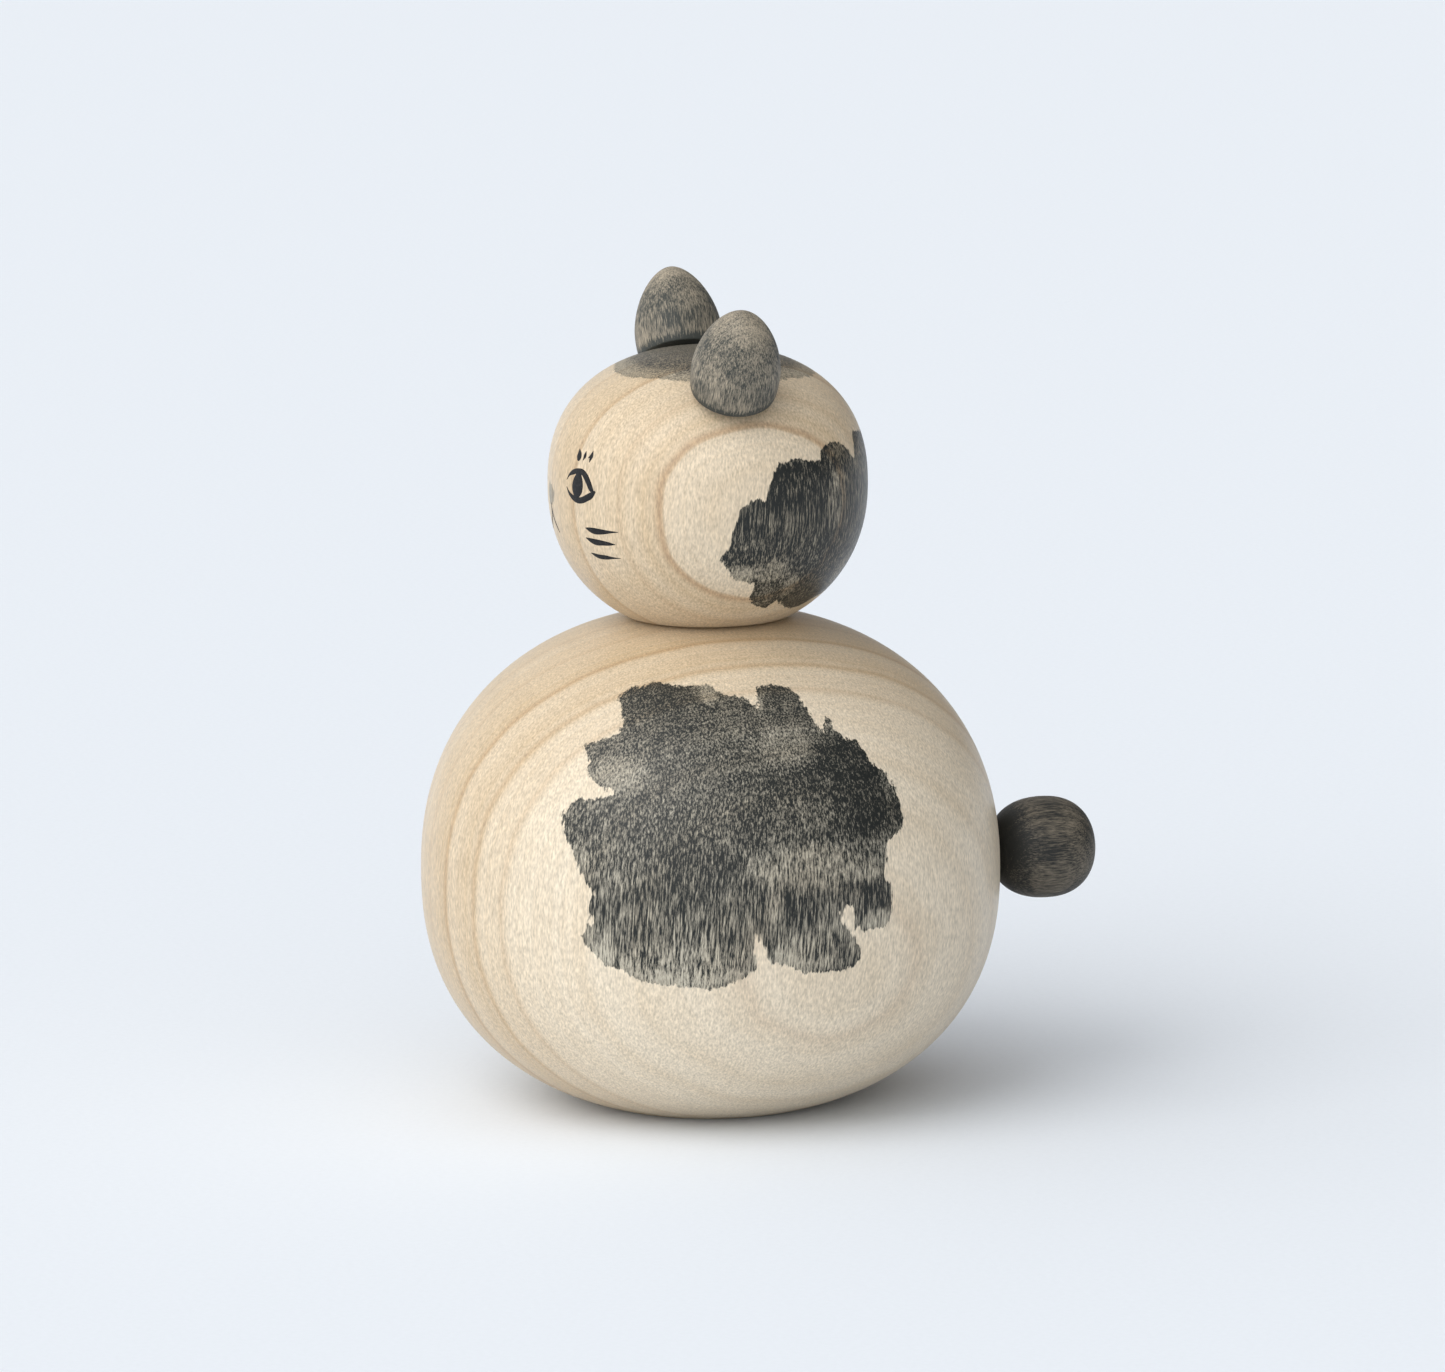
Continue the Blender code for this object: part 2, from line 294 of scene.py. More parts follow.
def lay_ink(piece, edge, load, dabs):
    """Keep the ink's edge on a piece, with the load of ink and how dry the brush was.

    A dab is (azimuth, height, half width, half height, load, dryness), in degrees and mm; it
    starts to fade inside its rim and ends a little outside it."""
    points = np.array([v.co for v in piece.data.vertices]) * 1000
    azimuths = np.degrees(np.arctan2(points[:, 0], -points[:, 1])) % 360
    load = np.full(len(points), load)
    dry = np.full(len(points), BRUSH_DRYNESS)
    for azimuth, height, width, rise, ink, dryness in dabs:
        reach = np.hypot((azimuths - azimuth) / width, (points[:, 2] - height) / rise)
        wet = np.clip((DAB_RIM - reach) / DAB_FADE, 0, 1)
        load = load * (1 - wet) + ink * wet
        dry = dry * (1 - wet) + dryness * wet
    for name, values in (("ink_edge", edge), ("ink_load", load), ("ink_dry", dry)):
        piece.data.attributes.new(name, "FLOAT", "POINT").data.foreach_set(
            "value", values.astype(np.float32))


def grain_places(finish, centre, outward, fibre, heart_depth):
    """Where a point lies in the log: depth and side from the heart line, and length, in mm."""
    fibre = Vector(fibre).normalized()
    outward = Vector(outward)
    outward = (outward - fibre * outward.dot(fibre)).normalized()
    place = finish_step(finish, "VectorMath", {
        0: finish_step(finish, "TexCoord", output="Object"), "Scale": 1000.0}, operation="SCALE")
    place = finish_step(finish, "VectorMath", {0: place, 1: centre}, operation="SUBTRACT")
    depth, side, length = [
        finish_step(finish, "VectorMath", {0: place, 1: way}, output="Value",
                    operation="DOT_PRODUCT")
        for way in (outward, fibre.cross(outward), fibre)]
    return place, reckon(finish, "ADD", depth, heart_depth), side, length


def fibre_noise(finish, depth, side, length, across, stretch, detail=2.0, roughness=0.5, shift=0.0):
    """Noise in threads: this many mm across, and stretch times as long along the fibre."""
    threads = finish_step(finish, "CombineXYZ", {
        "X": reckon(finish, "DIVIDE", depth, across),
        "Y": reckon(finish, "DIVIDE", side, across),
        "Z": reckon(finish, "MULTIPLY_ADD", length, 1 / (across * stretch), shift)})
    return finish_step(finish, "TexNoise", {"Vector": threads, "Scale": 1.0, "Detail": detail,
                                            "Roughness": roughness})


def stops_ramp(finish, value, stops):
    """A ramp of greys from (place, grey) pairs."""
    output = finish_step(finish, "ValToRGB", {"Fac": value})
    ramp = output.node.color_ramp
    for place, grey in stops[1:-1]:
        ramp.elements.new(place)
    for element, (place, grey) in zip(ramp.elements, stops):
        element.position = place
        element.color = (grey, grey, grey, 1.0)
    return output


def blended(finish, share, first, second, blend="MIX"):
    """Mix two colours, by a number or by a node output."""
    return finish_step(finish, "Mix", {0: share, 6: first, 7: second}, output=2,
                       data_type="RGBA", blend_type=blend)


THREAD_WIDTH = 0.30             # threads and flecks of the wood, in mm across
FLECK_WIDTH = 0.22
SEASON_SHARE = 0.55             # how much the tone swings from year to year
CLOUD_SHARE = 0.30              # and from one region of the log to the next
RING_SWAY = 1.6                 # how far the rings stray from round, in mm
RING_START = 0.7                # a ring darkens from this far inside its place, in mm,
RING_FULL = 0.1                 # is darkest this far inside it,
RING_END = 0.12                 # and stops short this far outside it
THREAD_TONE = 0.25              # how strongly threads and flecks shade the wood
FLECK_TONE = 0.94
PLAIN_TONE = 0.405


def maple(finish, centre, outward, heart_line, fibre, heart_depth, reach, rings, tones):
    """Bare wood. Rings are (place, strength) pairs and tones are (place, share of amber) pairs;
    a place is how far the ring lies from the heart line, less the heart's own depth, in mm.

    Gives the colour, the flecks, the log's own directions, and the ring place of any point."""
    place, depth, side = grain_places(finish, centre, outward, heart_line, heart_depth)[:3]
    log = grain_places(finish, centre, outward, fibre, heart_depth)[1:]
    sway = finish_step(finish, "TexNoise", {"Vector": place, "Scale": 0.07, "Detail": 2.0})
    ring_place = reckon(finish, "SQRT", reckon(
        finish, "ADD", reckon(finish, "MULTIPLY", depth, depth),
        reckon(finish, "MULTIPLY", side, side)))
    ring_place = reckon(finish, "ADD", ring_place,
                        reckon(finish, "MULTIPLY_ADD", sway, RING_SWAY,
                               -RING_SWAY / 2 - heart_depth))
    span = reckon(finish, "MULTIPLY_ADD", ring_place, 1 / (2 * reach), 0.5)
    amber = stops_ramp(finish, span, [((at / reach + 1) / 2, share) for at, share in tones])
    season = finish_step(finish, "TexNoise", {"W": reckon(finish, "MULTIPLY", ring_place, 0.55),
                                              "Scale": 1.0, "Detail": 3.0, "Roughness": 0.65},
                         noise_dimensions="1D")
    cloud = finish_step(finish, "TexNoise", {"Vector": place, "Scale": 0.16, "Detail": 3.0})
    amber = reckon(finish, "ADD", amber,
                   reckon(finish, "MULTIPLY_ADD", season, SEASON_SHARE, -SEASON_SHARE / 2))
    amber = reckon(finish, "ADD", amber,
                   reckon(finish, "MULTIPLY_ADD", cloud, CLOUD_SHARE, -CLOUD_SHARE / 2), clamp=True)
    colour = blended(finish, amber, CREAM, AMBER)
    lines = [(0.0, 0.0)]
    for at, strength in rings:
        lines += [((at - RING_START) / reach / 2 + 0.5, 0.0),
                  ((at - RING_FULL) / reach / 2 + 0.5, strength),
                  ((at + RING_END) / reach / 2 + 0.5, 0.0)]
    lines.append((1.0, 0.0))
    colour = blended(finish, stops_ramp(finish, span, lines), colour, RING_BROWN)
    threads = fibre_noise(finish, *log, THREAD_WIDTH, 8.0, detail=2.0, roughness=0.6)
    flecks = fibre_noise(finish, *log, FLECK_WIDTH, 3.5, detail=1.0, roughness=0.6, shift=5.0)
    tone = reckon(finish, "MULTIPLY_ADD", threads, THREAD_TONE, PLAIN_TONE)
    tone = reckon(finish, "MULTIPLY_ADD", flecks, FLECK_TONE, tone)
    colour = finish_step(finish, "VectorMath", {0: colour, "Scale": tone}, operation="SCALE")
    return colour, flecks, log, ring_place


BRISTLE_WIDTH = 0.55            # in mm across, like the two that follow
PORE_WIDTH = 0.20
DRAG_WIDTH = 1.5
PORE_BITE = 3.3                 # how unevenly wet threads take the ink
DRY_BITE = 2.2                  # how much more unevenly a dry brush marks them
LOAD_COVER = 1.1
RIM_WIDTH = 0.9                 # ink gathers this far in from a wet edge, in mm
STARVED_WIDTH = 2.2             # and runs out this far from a dry one


def inked(finish, bare, log, ring_place, teeth, streak, line_share):
    """Brushed ink over bare wood: a thin even wash with darker threads, and a ragged edge.

    Teeth is how far the edge strays, in mm; streak and line_share are how strongly the brush's
    drag and the growth rings mark the ink."""
    edge, load, dry = [finish_step(finish, "Attribute", output="Fac", attribute_name=name)
                       for name in ("ink_edge", "ink_load", "ink_dry")]
    bristles = fibre_noise(finish, *log, BRISTLE_WIDTH, 6.0, detail=3.0, roughness=0.65, shift=7.0)
    edge = reckon(finish, "ADD", edge,
                  reckon(finish, "MULTIPLY_ADD", bristles, 2 * teeth, -teeth))
    inside = finish_step(finish, "MapRange", {"Value": edge, "From Min": -0.09, "From Max": 0.09},
                         interpolation_type="SMOOTHSTEP")
    pores = fibre_noise(finish, *log, PORE_WIDTH, 11.0, detail=3.0, roughness=0.75, shift=3.0)
    drag = fibre_noise(finish, *log, DRAG_WIDTH, 3.0, detail=2.0, roughness=0.5, shift=11.0)
    lines = finish_step(finish, "TexNoise", {"W": ring_place, "Scale": 2.2, "Detail": 1.0},
                        noise_dimensions="1D")
    bite = reckon(finish, "MULTIPLY_ADD", dry, DRY_BITE, PORE_BITE)
    cover = reckon(finish, "MULTIPLY_ADD", reckon(finish, "SUBTRACT", pores, 0.5), bite,
                   reckon(finish, "MULTIPLY", load, LOAD_COVER))
    cover = reckon(finish, "ADD", cover, reckon(finish, "MULTIPLY_ADD", drag, streak, -streak / 2))
    cover = reckon(finish, "ADD", cover,
                   reckon(finish, "MULTIPLY_ADD", lines, line_share, -line_share / 2))
    rim = finish_step(finish, "MapRange", {"Value": edge, "From Min": 0.0,
                                           "From Max": RIM_WIDTH, "To Min": 0.10, "To Max": 0.0})
    cover = reckon(finish, "ADD", cover, rim)
    starved = finish_step(finish, "MapRange", {"Value": edge, "From Min": 0.0,
                                               "From Max": STARVED_WIDTH, "To Min": -0.75,
                                               "To Max": 0.0})
    cover = finish_step(finish, "Math", {0: reckon(finish, "MULTIPLY", starved, dry), 1: cover},
                        operation="ADD", use_clamp=True)
    washed = blended(finish, reckon(finish, "MULTIPLY", inside, 0.85), bare, THIN_WASH,
                     blend="MULTIPLY")
    return blended(finish, reckon(finish, "MULTIPLY", cover, inside), washed, INK)


def surface(finish, shader, colour, threads, roughness, spread, depth):
    """Colour, shine and faint relief, the last two broken by the threads of the wood."""
    finish.node_tree.links.new(colour, shader.inputs["Base Color"])
    finish.node_tree.links.new(
        finish_step(finish, "MapRange", {"Value": threads, "From Min": 0.3, "From Max": 0.7,
                                         "To Min": roughness - spread,
                                         "To Max": roughness + spread}),
        shader.inputs["Roughness"])
    finish.node_tree.links.new(
        finish_step(finish, "Bump", {"Strength": 0.5, "Distance": depth, "Height": threads}),
        shader.inputs["Normal"])


body_equator = curve_height(FOOT_RADIUS, BODY_RADIUS, BODY_LOWER_DROP, BODY_LOWER_POWER)
seat_height = body_equator + curve_height(SEAT_RADIUS, BODY_RADIUS, BODY_UPPER_RISE,
                                          BODY_UPPER_POWER)
body_lower = curve_half(BODY_RADIUS, BODY_LOWER_DROP, BODY_LOWER_POWER, FOOT_RADIUS, BODY_STEPS)
body_upper = curve_half(BODY_RADIUS, BODY_UPPER_RISE, BODY_UPPER_POWER, SEAT_RADIUS, BODY_STEPS)
body_profile = [(0.0, 0.0)]
body_profile += [(radius, body_equator - drop) for radius, drop in reversed(body_lower)]
body_profile += [(radius, body_equator + rise) for radius, rise in body_upper[1:]]
body_profile += [(SOCKET_THROAT_RADIUS, seat_height),
                 (SOCKET_THROAT_RADIUS, seat_height - SOCKET_THROAT_DEPTH),
                 (SOCKET_CHAMBER_RADIUS, seat_height - SOCKET_THROAT_DEPTH),
                 (SOCKET_CHAMBER_RADIUS, seat_height - SOCKET_DEPTH),
                 (0.0, seat_height - SOCKET_DEPTH)]
body = turned("round_body", body_profile, BODY_COLUMNS)
body_skin = turned_skin(body_equator, BODY_RADIUS, BODY_UPPER_RISE, BODY_UPPER_POWER,
                        BODY_LOWER_DROP, BODY_LOWER_POWER)
BODY_PATCH = [
    # upper edge of the patch, from its left corner round to the right shoulder
    (50, 50), (53.5, 51), (56, 50.8), (58.5, 51.5), (62, 51.4), (68, 51.1), (73, 51.3),
    (76.5, 51.4), (79.5, 50.7), (83, 50.3), (88, 50.1), (89.8, 49.2), (91.5, 49.1), (90.7, 50.1),
    (92.5, 50.9), (96, 51.1), (99, 51), (102, 50.6), (103.8, 49.8), (105, 47.3), (106.2, 46.2),
    (107.2, 46.9), (108, 47.2), (109, 47.9), (110, 46), (112, 45.3), (113.5, 45.4), (115.2, 44.3),
    (116, 42.8), (119, 41.3),
    # right side, its lower lobe and the bare spot beside it
    (120, 40), (120.3, 36.6), (118.5, 35.3), (115, 34.6), (114.2, 32.5), (113.3, 30.6),
    (114.7, 29.6), (115, 28), (115, 26), (114, 25.1), (111, 24.8), (108, 25), (106.3, 25.7),
    (107, 26.8), (106, 27.8), (104.4, 28), (103.1, 27.2), (103.2, 26), (104.6, 25.4),
    # the second lobe, the bare slit, and the streaky main lobe
    (106, 24.5), (107.4, 23), (107.9, 21.9), (106.3, 21), (103, 20.6), (99, 20.5), (95.5, 20.8),
    (92.5, 21.6), (90, 22), (88.4, 22.1), (87.8, 23.5), (86.9, 24.9), (86.4, 25.6), (85.6, 24),
    (86.2, 21.5), (84, 20.6), (81, 19.7), (77, 19.2), (73, 19.3), (69, 19.6), (65, 19.8),
    (62, 20.4), (59.5, 21.2), (56.5, 21.6), (54, 22.8), (52.2, 24), (51.3, 25),
    # left side, up past the middle band and the left step
    (52.5, 25.2), (52.4, 26.2), (54, 26.3), (53, 28), (53.2, 29.2), (54.6, 29.8), (52.8, 30.4),
    (51, 32), (49.5, 33.8), (48, 34.9), (46.5, 36), (45.7, 37.8), (46.6, 39), (48.2, 39.9),
    (51, 39.8), (54, 40.2), (57, 40.5), (55.5, 41.1), (52, 41.3), (50, 42.3), (48.6, 44),
    (46.2, 45), (48, 45.4), (51.5, 46.1), (54.8, 46.6), (54.4, 47.6), (52.8, 48.7),
]
BODY_LOAD = 0.78                # where no dab lies
BODY_LOADS = [
    # azimuth, height, half width, half height, load, dryness
    (64, 50, 12, 1.8, 0.90, 0.0), (66, 47.4, 12, 1.6, 0.80, 0.0), (77, 50.8, 3, 1.2, 0.36, 0.0),
    (84, 48.8, 5, 1.4, 0.78, 0.0), (91, 49.6, 1.8, 0.8, 0.42, 0.0),
    (99, 49.4, 5.5, 2.0, 0.82, 0.0), (96, 45.6, 8, 2.0, 0.56, 0.1), (106, 46.4, 2, 0.8, 0.7, 0.1),
    # the dabs at azimuth 52 and 57 are partly thin ink and partly a painted highlight
    (52, 44.3, 3.5, 1.2, 0.72, 0.0), (57, 42.4, 8, 2.0, 0.42, 0.1), (76, 43.4, 14, 2.8, 0.74, 0.0),
    (60, 38.2, 14, 2.0, 0.80, 0.25), (84, 40.5, 12, 1.6, 0.80, 0.0),
    (109, 42.5, 10, 3.4, 1.02, 0.0), (96, 41.6, 8, 1.4, 0.90, 0.0),
    (88, 37.2, 7, 1.8, 0.86, 0.1), (109, 38.0, 11, 3.0, 1.0, 0.0), (98, 38.0, 8, 1.6, 0.80, 0.1),
    (56, 33.5, 7, 2.4, 0.68, 0.4), (60, 31.6, 3, 1.4, 0.54, 0.4), (73, 32.5, 11, 3.4, 0.84, 0.2),
    (97, 32.6, 12, 2.4, 0.46, 0.4), (109, 34.2, 5, 1.0, 0.74, 0.2), (109.5, 31.6, 3, 1.2, 0.52, 0.4),
    (111, 28.6, 4.5, 1.7, 0.90, 0.1), (112, 25.8, 4, 1.1, 0.50, 0.6),
    (97, 28.3, 6.5, 2.2, 0.84, 0.2), (97, 23.3, 9, 2.4, 0.56, 0.8), (88, 24, 1.6, 2.2, 0.86, 0.3),
    (89.5, 28.4, 1.8, 2.4, 0.44, 0.4), (104, 24, 2.5, 2.0, 0.74, 0.4),
    (73, 27, 13, 2.2, 0.72, 0.5), (72, 22.2, 14, 3.0, 0.56, 1.0), (56, 23.6, 2.6, 2.0, 0.34, 0.7),
    (53, 24.6, 1.4, 1.2, 0.70, 0.4), (64, 22.6, 2.6, 2.0, 0.66, 1.0),
]
body_points = np.array([v.co for v in body.data.vertices]) * 1000
lay_ink(body, inside_outline(body_points, body_skin, BODY_PATCH), BODY_LOAD, BODY_LOADS)
body_wood, body_shader = new_finish("waxed_body_wood", WAX_ROUGHNESS)
body_shader.inputs["Specular IOR Level"].default_value = WAX_SHINE
body_bare, body_flecks, body_log, body_rings = maple(
    body_wood, centre=(0.0, 0.0, 26.4), outward=(0.969, 0.199, -0.147),
    heart_line=(0.084, 0.294, 0.952), fibre=(0.02, 0.06, 1.0), heart_depth=BODY_HEART, reach=40.0,
    rings=[(-24.0, 0.2), (-17.0, 0.25), (-9.0, 0.2), (-2.5, 0.25), (3.5, 0.2), (8.5, 0.42),
           (13.9, 0.26), (17.8, 0.20), (32.1, 0.22)],
    tones=[(-40.0, 0.5), (-24.0, 0.7), (-10.0, 0.45), (3.5, 0.7), (8.5, 0.95), (9.0, 0.6),
           (13.9, 0.78), (14.5, 0.45), (17.8, 0.42), (18.6, 0.2), (27.0, 0.08), (32.0, 0.1),
           (40.0, 0.0)])
body_colour = inked(body_wood, body_bare, body_log, body_rings, teeth=0.9, streak=0.5,
                    line_share=0.24)
surface(body_wood, body_shader, body_colour, body_flecks, WAX_ROUGHNESS, WAX_SPREAD, GRAIN_DEPTH)
body.data.materials.append(body_wood)
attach(body, "body")
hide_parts("body")

# ---------------------------------------------------------------------------
# Neck peg. A hardwood dowel glued into the head; its flared foot snaps into
# the body's socket, so that the head turns without coming off.
PEG_PALE = (0.56, 0.43, 0.28, 1.0)
PEG_BROWN = (0.40, 0.29, 0.17, 1.0)
PEG_ROUGHNESS = 0.6
PEG_HEART = 15.0                # depth of the log's heart, in mm


def dowel_finish(name, centre, fibre):
    """Bare split dowel wood, unwaxed, with its threads along the peg."""
    finish, shader = new_finish(name, PEG_ROUGHNESS)
    outward = (0.3, 0.2, 0.9) if abs(fibre[2]) < 0.7 else (1.0, 0.1, 0.0)
    log = grain_places(finish, centre, outward, fibre, PEG_HEART)[1:]
    threads = fibre_noise(finish, *log, 0.25, 10.0, detail=3.0, roughness=0.6)
    share = finish_step(finish, "MapRange", {"Value": threads, "From Min": 0.35, "From Max": 0.65})
    surface(finish, shader, blended(finish, share, PEG_PALE, PEG_BROWN), threads, PEG_ROUGHNESS,
            spread=0.06, depth=0.00003)
    return finish


neck_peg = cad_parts["neck_peg"]
neck_peg.data.materials.clear()
neck_peg.data.materials.append(dowel_finish("neck_peg_wood", (0.0, 0.0, 55.0), (0.0, 0.0, 1.0)))

# ---------------------------------------------------------------------------
# Head. A second maple ball, flattened below and bored for the neck peg. An ink
# patch wraps round its back, a thin grey wash lies between the ears, and a dab
# of the same wash makes the nose.
SEAT_GAP = 0.0003
HEAD_RADIUS = 0.01814
HEAD_UPPER_RISE = 0.01544
HEAD_UPPER_POWER = 2.328
HEAD_LOWER_DROP = 0.01708
HEAD_LOWER_POWER = 2.145
HEAD_FLAT_RADIUS = 0.0094
NECK_HOLE_RADIUS = 0.0043
NECK_HOLE_DEPTH = 0.0083
HEAD_STEPS = 64
HEAD_COLUMNS = 320
HEAD_HEART = 80.0

head_bottom = seat_height + SEAT_GAP
head_half = curve_height(HEAD_FLAT_RADIUS, HEAD_RADIUS, HEAD_LOWER_DROP, HEAD_LOWER_POWER)
head_equator = head_bottom + head_half
head_lower = curve_half(HEAD_RADIUS, HEAD_LOWER_DROP, HEAD_LOWER_POWER, HEAD_FLAT_RADIUS,
                        HEAD_STEPS)
head_upper = curve_half(HEAD_RADIUS, HEAD_UPPER_RISE, HEAD_UPPER_POWER, 0.0, HEAD_STEPS)
head_profile = [(0.0, head_bottom + NECK_HOLE_DEPTH),
                (NECK_HOLE_RADIUS, head_bottom + NECK_HOLE_DEPTH),
                (NECK_HOLE_RADIUS, head_bottom)]
head_profile += [(radius, head_equator - drop) for radius, drop in reversed(head_lower)]
head_profile += [(radius, head_equator + rise) for radius, rise in head_upper[1:-1]]
head_profile += [(0.0, head_equator + HEAD_UPPER_RISE)]
head = turned("turned_head", head_profile, HEAD_COLUMNS)
head_skin = turned_skin(head_equator, HEAD_RADIUS, HEAD_UPPER_RISE, HEAD_UPPER_POWER,
                        HEAD_LOWER_DROP, HEAD_LOWER_POWER)
HEAD_PATCH = [
    # stepped front edge, up to the notch behind the ear
    (82, 65), (84.5, 65.9), (85.5, 67.2), (86.4, 68.6), (88, 69.8), (88.4, 70.6), (91, 71),
    (94, 71.8), (96.5, 71.7), (98.6, 71.6), (99.6, 73), (101, 74.2), (102.2, 75), (105, 75.5),
    (109, 75.8), (113, 75.8), (118, 75.3), (122.6, 75.4), (124, 76.5), (128, 76.9), (133, 77),
    (137, 76.6), (140.5, 75.9), (142.5, 75), (145, 74.8), (146.5, 75.8), (149, 77.1), (154, 77.3),
    # round the back of the head
    (164, 76.8), (175, 77.6), (188, 78), (200, 77), (212, 75.4), (221, 73), (227, 70),
    (228, 67), (223, 64), (214, 62.5), (204, 60.6), (195, 59.4), (184, 59.2), (172, 58.7),
    (160, 59.2), (149, 58.8), (141, 58.6),
    # lower edge with its two brown lobes, and the thin wash in front of them
    (134, 58), (127, 57.8), (119, 58.1), (114.5, 58.7), (111, 59.3), (107, 58.5), (102, 58.6),
    (98, 59.2), (95.6, 60), (95.4, 60.7), (96.8, 61.3), (96.4, 62), (93, 61.9), (89, 62.3),
    (86, 63.1), (84.3, 63.9), (83, 64.4),
]
HEAD_LOAD = 0.90
HEAD_LOADS = [
    # azimuth, height, half width, half height, load, dryness
    (104, 72, 10, 5, 0.98, 0.0), (92, 67.5, 8, 3, 0.92, 0.1), (118, 71, 14, 5, 0.98, 0.0),
    (110, 67, 16, 3.4, 0.84, 0.1), (131, 71, 6, 3.4, 0.60, 0.7), (134, 76, 6, 0.9, 0.76, 0.2),
    (145, 75.5, 4, 0.9, 0.66, 0.3), (151, 73, 9, 4, 0.82, 0.3), (90, 62.9, 7, 1.2, 0.34, 0.2),
    (104, 63.2, 7, 1.4, 0.52, 0.4), (102, 60.2, 6, 1.7, 0.74, 0.1), (114, 61.2, 5, 1.4, 0.54, 0.3),
    (128, 60.5, 10, 2.4, 0.86, 0.1), (148, 61.5, 6, 1.8, 0.66, 0.5), (175, 66, 16, 6, 0.78, 0.5),
    (205, 70, 14, 4, 0.84, 0.3), (210, 63.5, 9, 1.8, 0.6, 0.5),
]
CROWN_HEIGHT = 80.0             # the wash lies above this height, in mm
CROWN_WASH_RADIUS = 10.7        # thin grey wash between the ears, in mm from the axis
NOSE = [(-4.0, 70.4), (-3.2, 71.2), (-1.2, 71.6), (1.2, 71.6), (3.2, 71.2), (4.0, 70.4),
        (3.4, 69.7), (1.2, 69.1), (-1.2, 69.1), (-3.4, 69.7)]
head_points = np.array([v.co for v in head.data.vertices]) * 1000
crown_edge = np.where(head_points[:, 2] > CROWN_HEIGHT,
                      CROWN_WASH_RADIUS - np.hypot(head_points[:, 0], head_points[:, 1]), -9.0)
crown_turn = np.arctan2(head_points[:, 0], -head_points[:, 1])
crown_edge += 0.25 * np.sin(5 * crown_turn) + 0.6 * (1 - np.cos(crown_turn))
nose_edge = inside_outline(head_points, head_skin, NOSE, first_azimuth=-180.0)
head_edge = np.maximum.reduce([inside_outline(head_points, head_skin, HEAD_PATCH), crown_edge,
                               nose_edge])
lay_ink(head, head_edge, HEAD_LOAD, HEAD_LOADS)
for name, rim, middle in (("ink_load", 0.22, 0.72), ("ink_dry", 0.0, 0.1)):
    # the wash is thin at its rim and on the nose, and fuller in the middle of the crown
    ink = np.empty(len(head_points), np.float32)
    head.data.attributes[name].data.foreach_get("value", ink)
    crown_ink = rim + (middle - rim) * np.clip(crown_edge / 2.0 - 0.4, 0, 1)
    ink = np.where(nose_edge > -1.5, rim, ink)
    head.data.attributes[name].data.foreach_set(
        "value", np.where(head_points[:, 2] > CROWN_HEIGHT, crown_ink, ink).astype(np.float32))
head_wood, head_shader = new_finish("waxed_head_wood", WAX_ROUGHNESS)
head_shader.inputs["Specular IOR Level"].default_value = WAX_SHINE
head_bare, head_flecks, head_log, head_rings = maple(
    head_wood, centre=(0.0, 0.0, 70.7), outward=(0.990, 0.127, -0.064),
    heart_line=(0.055, 0.071, 0.996), fibre=(0.05, 0.05, 1.0), heart_depth=HEAD_HEART, reach=22.0,
    rings=[(-12.0, 0.2), (-5.0, 0.25), (0.5, 0.2), (6.2, 0.36), (12.1, 0.14), (15.3, 0.62)],
    tones=[(-22.0, 0.5), (-12.0, 0.6), (-5.0, 0.4), (2.0, 0.7), (6.2, 0.9), (6.7, 0.55),
           (12.0, 0.68), (12.5, 0.58), (15.3, 0.78), (15.5, 0.36), (18.0, 0.34), (22.0, 0.26)])
head_colour = inked(head_wood, head_bare, head_log, head_rings, teeth=0.7, streak=0.3,
                    line_share=0.1)
surface(head_wood, head_shader, head_colour, head_flecks, WAX_ROUGHNESS, WAX_SPREAD, GRAIN_DEPTH)
head.data.materials.append(head_wood)
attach(head, "head")
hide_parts("head")

# ---------------------------------------------------------------------------
# Face. The eyes, brows, whiskers and mouth are single strokes of black ink
# from a fine brush. Each is a thin film on the head, domed a little along its
# middle, and the right side mirrors the left.
FILM_RISE = 0.030               # how far a stroke stands off the wood, in mm
FILM_ROOT = 0.030               # how far its underside reaches into the wood, in mm
STROKE_STEPS = 40               # slices along a stroke, and strips across it
STROKE_WAYS = 6
STROKE_FULLNESS = 1.06          # how much wider every stroke is than its walk says
LEAST_HALF_WIDTH = 0.015        # in mm, at a stroke's very point
MM_PER_DEGREE = 0.31            # round the head at the face's height
FACE_SHIFT = 0.5                # turns every stroke this many degrees towards the front
BLACK_INK = (0.005, 0.005, 0.006, 1.0)
THIN_INK = (0.030, 0.029, 0.028, 1.0)
EYE_STROKES = [
    # each stroke is a walk of (azimuth, height, half width), in degrees and mm
    [(16.8, 72.75, 0.04), (18.4, 73.35, 0.13), (20.8, 73.75, 0.28), (23.8, 74.0, 0.28),
     (26.5, 73.95, 0.32), (28.2, 73.6, 0.38), (29.9, 73.0, 0.38), (31.7, 72.2, 0.30),
     (33.1, 71.8, 0.10)],
    [(16.9, 71.95, 0.04), (18.4, 71.4, 0.15), (21.2, 70.9, 0.28), (24.3, 70.7, 0.33),
     (26.6, 70.8, 0.34), (29.3, 71.15, 0.36), (32.0, 71.6, 0.32), (33.7, 72.05, 0.10)],
    [(24.4, 73.9, 0.30), (24.3, 73.2, 0.72), (24.0, 72.4, 0.95), (23.6, 71.7, 0.86),
     (23.2, 71.0, 0.40)],
]
BROW_STROKES = [
    [(22.4, 76.4, 0.03), (23.0, 75.9, 0.34), (23.1, 75.5, 0.40), (22.9, 75.1, 0.16)],
    [(26.7, 76.3, 0.02), (26.5, 75.8, 0.22), (25.8, 75.25, 0.04)],
    [(30.5, 76.45, 0.02), (30.1, 75.9, 0.24), (29.4, 75.15, 0.04)],
    [(28.5, 75.6, 0.03), (29.6, 75.85, 0.14), (30.2, 76.0, 0.10)],
]
